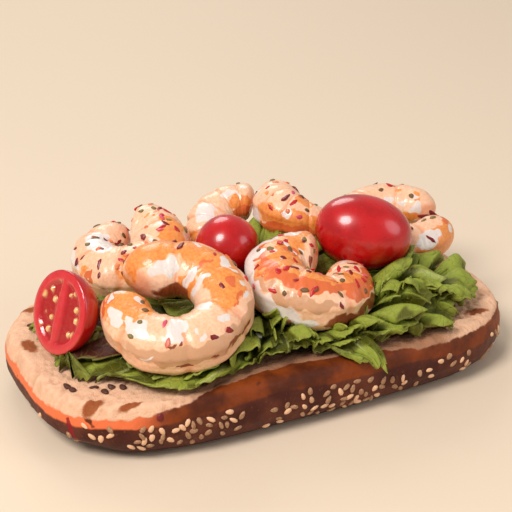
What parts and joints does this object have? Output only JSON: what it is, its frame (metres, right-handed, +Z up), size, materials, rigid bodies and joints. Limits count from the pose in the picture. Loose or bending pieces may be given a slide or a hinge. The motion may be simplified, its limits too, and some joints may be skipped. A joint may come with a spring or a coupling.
{
  "type": "open sandwich",
  "caption": "Open sandwich: half a seeded oblong roll, cut side up, heaped with lettuce, curled prawns, small tomatoes, chilli and pepper flakes.",
  "frame": {"origin": "on the surface the sandwich stands on, under the middle of its bounding box", "axes": "+X along the roll's length, +Y away from the front edge, +Z up from the flat underside"},
  "size_m": [0.152, 0.0926, 0.0499],
  "materials": {
    "bread": "baked brown crust with sesame seeds, pale toasted crumb on the cut face",
    "lettuce": "fresh frilled green leaves, slightly waxy, darker in the folds",
    "prawn": "moist cooked flesh, peach white with orange bands",
    "tomato": "glossy thin red skin, wet pulp on the cut half"
  },
  "bodies": {
    "root": {"bread": "bread", "lettuce": "lettuce", "prawn_front": "prawn", "prawn_middle": "prawn", "prawn_right": "prawn", "prawn_back_left": "prawn", "prawn_back": "prawn", "prawn_top": "prawn", "tomato_small": "tomato", "tomato_large": "tomato", "tomato_half": "tomato"}
  },
  "joints": []
}
